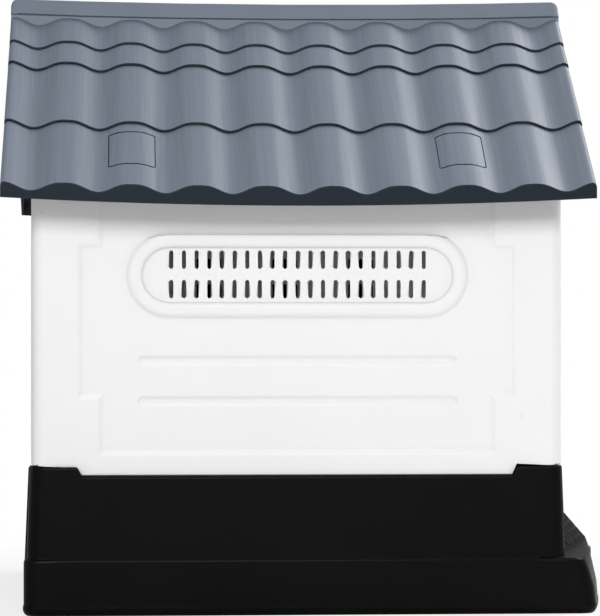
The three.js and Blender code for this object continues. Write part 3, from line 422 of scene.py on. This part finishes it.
class Finish:
    """A material with one Principled shader, and short ways to feed its sockets."""

    def __init__(self, name, specular):
        self.material = bpy.data.materials.new(name)
        self.material.use_nodes = True
        self.tree = self.material.node_tree
        self.shader = self.tree.nodes["Principled BSDF"]
        self.shader.inputs["Specular IOR Level"].default_value = specular
        self.shader.inputs["IOR"].default_value = PLASTIC_IOR

    def effect(self, group, **values):
        node = self.tree.nodes.new("ShaderNodeGroup")
        node.node_tree = group
        for label, value in values.items():
            node.inputs[label.replace("_", " ")].default_value = value
        return node

    def ramp(self, source, stops):
        """Colours between stops of (position, colour)."""
        node = self.tree.nodes.new("ShaderNodeValToRGB")
        elements = node.color_ramp.elements
        while len(elements) < len(stops):
            elements.new(0.5)
        for element, (position, colour) in zip(elements, stops):
            element.position = position
            element.color = (*colour, 1)
        self.tree.links.new(source, node.inputs["Fac"])
        return node.outputs["Color"]

    def spread(self, source, low, high):
        """A value between low and high as the source goes through its middle range."""
        node = self.tree.nodes.new("ShaderNodeMapRange")
        node.inputs["From Min"].default_value = NOISE_LOW
        node.inputs["From Max"].default_value = NOISE_HIGH
        node.inputs["To Min"].default_value = low
        node.inputs["To Max"].default_value = high
        self.tree.links.new(source, node.inputs["Value"])
        return node.outputs["Result"]

    def colour(self, source):
        self.tree.links.new(source, self.shader.inputs["Base Color"])

    def roughness(self, source):
        self.tree.links.new(source, self.shader.inputs["Roughness"])

    def painted_crease_shade(self, colour, reach, share):
        """The colour with painted shade: darker, down to the share, in creases and narrow places
        that ambient occlusion finds.
        """
        shade = self.tree.nodes.new("ShaderNodeAmbientOcclusion")
        shade.inputs["Distance"].default_value = reach
        shade.samples = PAINTED_SHADE_SAMPLES
        span = self.tree.nodes.new("ShaderNodeMapRange")
        span.inputs["To Min"].default_value = share
        self.tree.links.new(shade.outputs["AO"], span.inputs["Value"])
        product = self.tree.nodes.new("ShaderNodeVectorMath")
        product.operation = "MULTIPLY"
        self.tree.links.new(colour, product.inputs[0])
        self.tree.links.new(span.outputs["Result"], product.inputs[1])
        return product.outputs["Vector"]

    def bump(self, height, distance, strength):
        node = self.tree.nodes.new("ShaderNodeBump")
        node.inputs["Distance"].default_value = distance
        node.inputs["Strength"].default_value = strength
        self.tree.links.new(height, node.inputs["Height"])
        self.tree.links.new(node.outputs["Normal"], self.shader.inputs["Normal"])


def scaled(colour, share):
    return tuple(channel * share for channel in colour)


def around(colour, share):
    """Ramp stops from a little darker than the colour to a little lighter."""
    return [
        (NOISE_LOW, scaled(colour, 1 - share)),
        (NOISE_HIGH, scaled(colour, 1 + share)),
    ]


def brushed_slate():
    """The tiles' upper faces: slate grey plastic with fine marks down the slope, and painted
    shade in the valleys and creases.
    """
    finish = Finish("brushed_slate_plastic", SLATE_SPECULAR)
    streaks = finish.effect(STREAKS, Fine=1.0, Broad=0.15)
    stops = [(0.2, scaled(SLATE, 0.86)), (0.8, scaled(SLATE, 1.14))]
    colour = finish.ramp(streaks.outputs["Streak"], stops)
    # painted shade: the slate darkens in the tiles' valleys and creases by ambient occlusion
    finish.colour(finish.painted_crease_shade(colour, reach=0.03, share=0.35))
    finish.roughness(finish.spread(streaks.outputs["Streak"], low=0.56, high=0.48))
    finish.bump(streaks.outputs["Streak"], distance=0.0002, strength=0.35)
    return finish.material


def plain_slate(name, colour, specular):
    """The same plastic without the marks."""
    finish = Finish(name, specular)
    grain = finish.effect(GRAIN, Size=700.0, Cloud_size=14.0)
    finish.colour(finish.ramp(grain.outputs["Cloud"], around(colour, 0.05)))
    finish.roughness(finish.spread(grain.outputs["Grain"], low=0.42, high=0.5))
    finish.bump(grain.outputs["Grain"], distance=0.0001, strength=0.2)
    return finish.material


def white_plastic():
    """The walls' satin plastic, with painted shade in its creases."""
    finish = Finish("white_wall_plastic", 0.4)
    grain = finish.effect(GRAIN, Size=500.0, Cloud_size=5.0)
    stops = [(NOISE_LOW, (0.85, 0.85, 0.847)), (NOISE_HIGH, (0.87, 0.87, 0.867))]
    colour = finish.ramp(grain.outputs["Cloud"], stops)
    # painted shade: the white darkens in creases and recesses by ambient occlusion
    finish.colour(finish.painted_crease_shade(colour, reach=0.015, share=0.3))
    finish.roughness(finish.spread(grain.outputs["Grain"], low=0.42, high=0.5))
    finish.bump(grain.outputs["Grain"], distance=0.0001, strength=0.15)
    return finish.material


def black_plastic(name, specular, share):
    """Charcoal black plastic; a share over 1 makes it lighter, which the tread bars use as a
    painted highlight.
    """
    finish = Finish(name, specular)
    grain = finish.effect(GRAIN, Size=800.0, Cloud_size=9.0)
    colour = scaled(CHARCOAL, share)
    finish.colour(finish.ramp(grain.outputs["Cloud"], around(colour, 0.2)))
    finish.roughness(finish.spread(grain.outputs["Grain"], low=0.36, high=0.46))
    finish.bump(grain.outputs["Grain"], distance=0.0001, strength=0.3)
    return finish.material


SLATE = (0.146, 0.176, 0.222)
# painted shade: a much darker copy of the slate for the roof's upright and downward faces, where
# less light falls
PAINTED_SHADE_COLOUR = (0.012, 0.018, 0.027)
SLATE_SPECULAR = 0.6
BRUSHED_SLATE = brushed_slate()
SATIN_SLATE = plain_slate("satin_slate_plastic", SLATE, SLATE_SPECULAR)
PAINTED_SHADE_SLATE = plain_slate("painted_shade_slate_plastic", PAINTED_SHADE_COLOUR, 0.14)
ROOF_FINISHES = [BRUSHED_SLATE, SATIN_SLATE, PAINTED_SHADE_SLATE]
BRUSHED, SATIN, PAINTED_SHADE_FACES = range(len(ROOF_FINISHES))
WHITE = white_plastic()
CHARCOAL = (0.002, 0.002, 0.0021)
BLACK = black_plastic("black_base_plastic", 0.09, 1)
# painted highlight: the tread bars' black is made much lighter so that they look lit
PAINTED_HIGHLIGHT_BLACK = black_plastic("painted_highlight_black_plastic", 0.4, 14)

# ------------------------------------------------------------------ roof


def tile_finish(face):
    """Marks on the slopes, none on the ends of the house, and painted shade on the tile ends and
    other upright or downward faces.
    """
    if abs(face.normal.y) > MARKED:
        return SATIN
    return BRUSHED if face.normal.z > MARKED else PAINTED_SHADE_FACES


def cap_finish(face):
    """As the tiles, with a plain beam."""
    middle = face.calc_center_median()
    if abs(middle.x) < BEAM_HALF + SNAP and middle.z > BEAM_LOW_Z:
        return SATIN
    return tile_finish(face)


def is_beam_edge(edge):
    return (
        edge.is_convex
        and all(abs(vert.co.x) < BEAM_HALF + SNAP for vert in edge.verts)
        and min(vert.co.z for vert in edge.verts) > BEAM_LIP_Z
    )


def roof_piece(node, body, pick):
    bm = merged_copy(node)
    curve_tiles(bm)
    join_flats(bm)
    round_edges(bm, is_tile_end, LIP_ROUND, 3)
    bm.normal_update()
    if node == "ridge_cap":
        round_edges(bm, is_beam_edge, BEAM_ROUND, 2)
    else:
        round_edges(bm, is_plate_edge, PLATE_ROUND, 2)
    piece = finish_mesh(bm, node + "_tiled", body, node, ROOF_FINISHES, pick)


for node in ("left_roof_panel", "right_roof_panel"):
    roof_piece(node, "roof", tile_finish)
roof_piece("ridge_cap", "roof", cap_finish)

for side in ("left", "right"):
    for end in ("front", "rear"):
        roof_piece(f"{side}_{end}_lock", f"{side}_{end}_flap", tile_finish)

# ------------------------------------------------------------------ walls


def drafted(value, line, shift):
    """The value moved by shift where it lies on the line."""
    return value + shift if abs(value - line) < SNAP else value


def draft_field(bm):
    """Slopes the steps round a side wall's recessed field."""
    for vert in bm.verts:
        if abs(abs(vert.co.x) - FIELD_X) > SNAP:
            continue
        y = abs(vert.co.y - CENTRE_Y)
        side = 1 if vert.co.y > CENTRE_Y else -1
        on_wide = abs(y - FIELD_WIDE) < SNAP
        on_narrow = abs(y - FIELD_NARROW) < SNAP
        if on_wide or on_narrow:
            vert.co.y = CENTRE_Y + side * (y - FIELD_DRAFT)
        if on_wide or on_narrow or y < FIELD_NARROW:
            vert.co.z = drafted(vert.co.z, FIELD_LOW_Z, FIELD_DRAFT)
        if on_wide or on_narrow or y > FIELD_NARROW:
            vert.co.z = drafted(vert.co.z, FIELD_STEP_LOW_Z, FIELD_DRAFT)
            vert.co.z = drafted(vert.co.z, FIELD_STEP_HIGH_Z, -FIELD_DRAFT)


def band_shift(shifts, height):
    """How far a point at this height above the field moves away from the vent's axis."""
    for (low, first), (high, second) in zip(shifts, shifts[1:]):
        if height <= high + SNAP:
            return first + (second - first) * max(0.0, height - low) / (high - low)
    return 0.0


def soften_band(bm):
    """Gives the band round a vent wider and gentler sides."""
    reach = BAND_HALF_LENGTH - BAND_HALF_HEIGHT
    for vert in bm.verts:
        height = abs(vert.co.x) - FIELD_X
        if height < -SNAP:
            continue
        axis = max(-reach, min(reach, vert.co.y - CENTRE_Y))
        out = Vector((0, vert.co.y - CENTRE_Y - axis, vert.co.z - BAND_Z))
        outer = BAND_HALF_HEIGHT - out.length
        inner = out.length - (BAND_HALF_HEIGHT - BAND_WIDTH)
        if outer < -SNAP or inner < -SNAP:
            continue
        shifts = BAND_OUTER_SHIFTS if outer < inner else BAND_INNER_SHIFTS
        vert.co += out.normalized() * band_shift(shifts, height)


def lift_relief(bm):
    """Moves all that is moulded into a side wall up to where the photograph has it."""
    for vert in bm.verts:
        inside = abs(vert.co.y - CENTRE_Y) < RELIEF_HALF_LENGTH
        if inside and RELIEF_LOW_Z < vert.co.z < RELIEF_HIGH_Z:
            vert.co.z += RELIEF_LIFT


def in_relief(edge):
    """An edge of the recessed field's outline or of the vent band's foot."""
    middle = (edge.verts[0].co + edge.verts[1].co) / 2
    x = abs(middle.x)
    return RELIEF_INNER_X < x < RELIEF_OUTER_X and edge.calc_length() > RELIEF_SHORTEST


def side_wall(node):
    bm = merged_copy(node)
    join_flats(bm)
    soften_band(bm)
    draft_field(bm)
    lift_relief(bm)
    bm.normal_update()
    round_edges(bm, in_relief, RELIEF_ROUND, 3)
    piece = finish_mesh(bm, node + "_moulding", "house", node, [WHITE])


def gable_wall(node):
    bm = merged_copy(node)
    join_flats(bm)
    round_edges(bm, lambda edge: True, GABLE_ROUND, 2)
    piece = finish_mesh(bm, node + "_moulding", "house", node, [WHITE])


def gate_marks():
    """Small round marks on both side walls."""
    bm = bmesh.new()
    for side in (-1, 1):
        for y, z in GATE_MARKS:
            place = Matrix.Translation((side * (WALL_FACE_X + GATE_HEIGHT / 4), CENTRE_Y + y, z))
            bmesh.ops.create_cone(
                bm,
                cap_ends=True,
                segments=GATE_SEGMENTS,
                radius1=GATE_RADIUS,
                radius2=GATE_RADIUS,
                depth=GATE_HEIGHT,
                matrix=place @ Matrix.Rotation(math.pi / 2, 4, "Y"),
            )
    marks = plain_piece(bm, "gate_marks", "house", WHITE)


for node in ("left_wall", "right_wall"):
    side_wall(node)
gate_marks()
for node in ("front_wall", "rear_wall"):
    gable_wall(node)

# ------------------------------------------------------------------ base


def is_rim(edge):
    """The upper outer edge of the rim, all round."""
    low = min(vert.co.z for vert in edge.verts)
    if low < RIM_BOTTOM_Z or not edge.is_convex:
        return False
    tops = [face for face in edge.link_faces if face.normal.z > LEVEL]
    walls = [face for face in edge.link_faces if abs(face.normal.z) < UPRIGHT]
    if not tops or not walls:
        return False
    middle = walls[0].calc_center_median()
    outward = Vector((middle.x, middle.y - CENTRE_Y, 0)).dot(walls[0].normal)
    return outward > 0


def is_plain_base_edge(edge):
    """Every other edge, but not the foot's nor the ledge's under the side panels."""
    zs = [vert.co.z for vert in edge.verts]
    ys = [abs(vert.co.y - CENTRE_Y) for vert in edge.verts]
    if min(zs) > LEDGE_LOW_Z and max(zs) < LEDGE_HIGH_Z and max(ys) < POST_INNER + SNAP:
        return False
    return max(zs) < RIM_BOTTOM_Z and min(zs) > FOOT_HIGH_Z


def base_piece():
    bm = merged_copy("base_tray")
    join_flats(bm)
    for y in (CENTRE_Y - POST_INNER, CENTRE_Y + POST_INNER):
        cut_across(bm, y)
    bm.normal_update()
    round_edges(bm, is_rim, RIM_ROUND, 4)
    bm.normal_update()
    round_edges(bm, is_plain_base_edge, BASE_ROUND, 2)
    piece = finish_mesh(bm, "base_tray_moulding", "house", "base_tray", [BLACK])


def tread_bar(bm, angle, point, normal, turn):
    """A raised bar; point and normal are (radius, height) pairs of the round landing."""
    outward = Vector((math.sin(angle), -math.cos(angle), 0))
    along = Vector((math.cos(angle), math.sin(angle), 0))
    up = Vector((0, 0, 1))
    face_normal = (outward * normal[0] + up * normal[1]).normalized()
    slope = face_normal.cross(along)
    length_axis = slope * math.cos(turn) + along * math.sin(turn)
    axes = (length_axis, face_normal.cross(length_axis), face_normal)
    columns = [axis * size for axis, size in zip(axes, TREAD_BAR)]
    place = Matrix(columns).transposed().to_4x4()
    place.translation = TREAD_CENTRE + outward * point[0] + up * point[1]
    bmesh.ops.create_cube(bm, size=1, matrix=place)


def tread_rows(head, foot):
    """Points down a stretch of the landing, with the stretch's normal."""
    drop = (foot[0] - head[0], head[1] - foot[1])
    for i in range(TREAD_ROWS):
        share = (i + 0.5) / TREAD_ROWS
        yield (head[0] + drop[0] * share, head[1] - drop[1] * share), (drop[1], drop[0])


def landing_tread():
    """Crossing bars on the landing's slope and on its upright face."""
    bm = bmesh.new()
    stretches = ((TREAD_SLOPE_HEAD, TREAD_SLOPE_FOOT), (TREAD_FACE_HEAD, TREAD_FACE_FOOT))
    for head, foot in stretches:
        for row, (point, normal) in enumerate(tread_rows(head, foot)):
            steps = math.floor(TREAD_HALF_ANGLE * point[0] / TREAD_PITCH)
            for i in range(-steps, steps + 1):
                turn = TREAD_TURN if (i + row) % 2 else -TREAD_TURN
                tread_bar(bm, i * TREAD_PITCH / point[0], point, normal, turn)
    tread = plain_piece(bm, "landing_tread", "house", PAINTED_HIGHLIGHT_BLACK)


base_piece()
landing_tread()

# ------------------------------------------------------------------ stage, light, camera


def make_floor():
    """A pale floor that turns white away from the house, like the photograph's ground."""
    bm = bmesh.new()
    bmesh.ops.create_grid(bm, x_segments=1, y_segments=1, size=FLOOR_HALF_SIZE)
    mesh = bpy.data.meshes.new("floor")
    bm.to_mesh(mesh)
    bm.free()
    floor = bpy.data.objects.new("floor", mesh)
    bpy.context.scene.collection.objects.link(floor)
    material = bpy.data.materials.new("pale_floor")
    material.use_nodes = True
    tree = material.node_tree
    tree.nodes.clear()
    output = tree.nodes.new("ShaderNodeOutputMaterial")
    paint = tree.nodes.new("ShaderNodeBsdfDiffuse")
    paint.inputs["Color"].default_value = FLOOR_COLOUR
    glow = tree.nodes.new("ShaderNodeEmission")
    glow.inputs["Strength"].default_value = 1.0
    coordinates = tree.nodes.new("ShaderNodeTexCoord")
    distance = tree.nodes.new("ShaderNodeVectorMath")
    distance.operation = "LENGTH"
    fade = tree.nodes.new("ShaderNodeMapRange")
    fade.interpolation_type = "SMOOTHSTEP"
    near, far = FLOOR_FADE
    fade.inputs["From Min"].default_value = near
    fade.inputs["From Max"].default_value = far
    fade.inputs["To Min"].default_value = FLOOR_NEAR_WHITE
    seen = tree.nodes.new("ShaderNodeMath")
    seen.operation = "MULTIPLY"
    rays = tree.nodes.new("ShaderNodeLightPath")
    mix = tree.nodes.new("ShaderNodeMixShader")
    tree.links.new(coordinates.outputs["Object"], distance.inputs[0])
    tree.links.new(distance.outputs["Value"], fade.inputs["Value"])
    tree.links.new(fade.outputs["Result"], seen.inputs[0])
    tree.links.new(rays.outputs["Is Camera Ray"], seen.inputs[1])
    tree.links.new(seen.outputs["Value"], mix.inputs["Fac"])
    tree.links.new(paint.outputs["BSDF"], mix.inputs[1])
    tree.links.new(glow.outputs["Emission"], mix.inputs[2])
    tree.links.new(mix.outputs["Shader"], output.inputs["Surface"])
    mesh.materials.append(material)


def make_world(level):
    """Even light of the given level, and a white background with painted shade: dark to the
    camera behind the vents.
    """
    world = bpy.data.worlds.new("studio")
    bpy.context.scene.world = world
    world.use_nodes = True
    tree = world.node_tree
    background = tree.nodes["Background"]
    background.inputs["Color"].default_value = (1, 1, 1, 1)
    rays = tree.nodes.new("ShaderNodeLightPath")
    strength = tree.nodes.new("ShaderNodeMapRange")
    strength.inputs["To Min"].default_value = level
    direction = tree.nodes.new("ShaderNodeTexCoord")
    offset = tree.nodes.new("ShaderNodeVectorMath")
    offset.operation = "SUBTRACT"
    offset.inputs[1].default_value = DARK_CENTRE
    share = tree.nodes.new("ShaderNodeVectorMath")
    share.operation = "DIVIDE"
    share.inputs[1].default_value = DARK_REACH
    distance = tree.nodes.new("ShaderNodeVectorMath")
    distance.operation = "LENGTH"
    beyond = tree.nodes.new("ShaderNodeMapRange")
    near, far = DARK_SOFTNESS
    beyond.inputs["From Min"].default_value = near
    beyond.inputs["From Max"].default_value = far
    beyond.inputs["To Max"].default_value = 1.0
    tree.links.new(direction.outputs["Generated"], offset.inputs[0])
    tree.links.new(offset.outputs["Vector"], share.inputs[0])
    tree.links.new(share.outputs["Vector"], distance.inputs[0])
    tree.links.new(distance.outputs["Value"], beyond.inputs["Value"])
    tree.links.new(beyond.outputs["Result"], strength.inputs["To Max"])
    tree.links.new(rays.outputs["Is Camera Ray"], strength.inputs["Value"])
    tree.links.new(strength.outputs["Result"], background.inputs["Strength"])


def softbox(name, place, target, size, watts):
    lamp = bpy.data.lights.new(name, "AREA")
    lamp.shape = "SQUARE"
    lamp.size = size
    lamp.energy = watts
    box = bpy.data.objects.new(name, lamp)
    box.location = place
    box.rotation_euler = (Vector(target) - Vector(place)).to_track_quat("-Z", "Y").to_euler()
    bpy.context.scene.collection.objects.link(box)


def make_camera():
    camera = bpy.data.cameras.new("photo_camera")
    camera.sensor_width = SENSOR_MM
    camera.lens = FOCAL_PIXELS / PHOTO_HEIGHT * SENSOR_MM
    view = bpy.data.objects.new("photo_camera", camera)
    view.location = CAMERA_PLACE
    view.rotation_euler = (math.pi / 2 - CAMERA_DIP, 0, -math.pi / 2 - CAMERA_TURN)
    bpy.context.scene.collection.objects.link(view)
    bpy.context.scene.camera = view


make_floor()
make_world(WORLD_LEVEL)
softbox("front", **FRONT_LAMP)
softbox("top", **TOP_LAMP)
make_camera()
bpy.context.scene.view_settings.view_transform = "Standard"
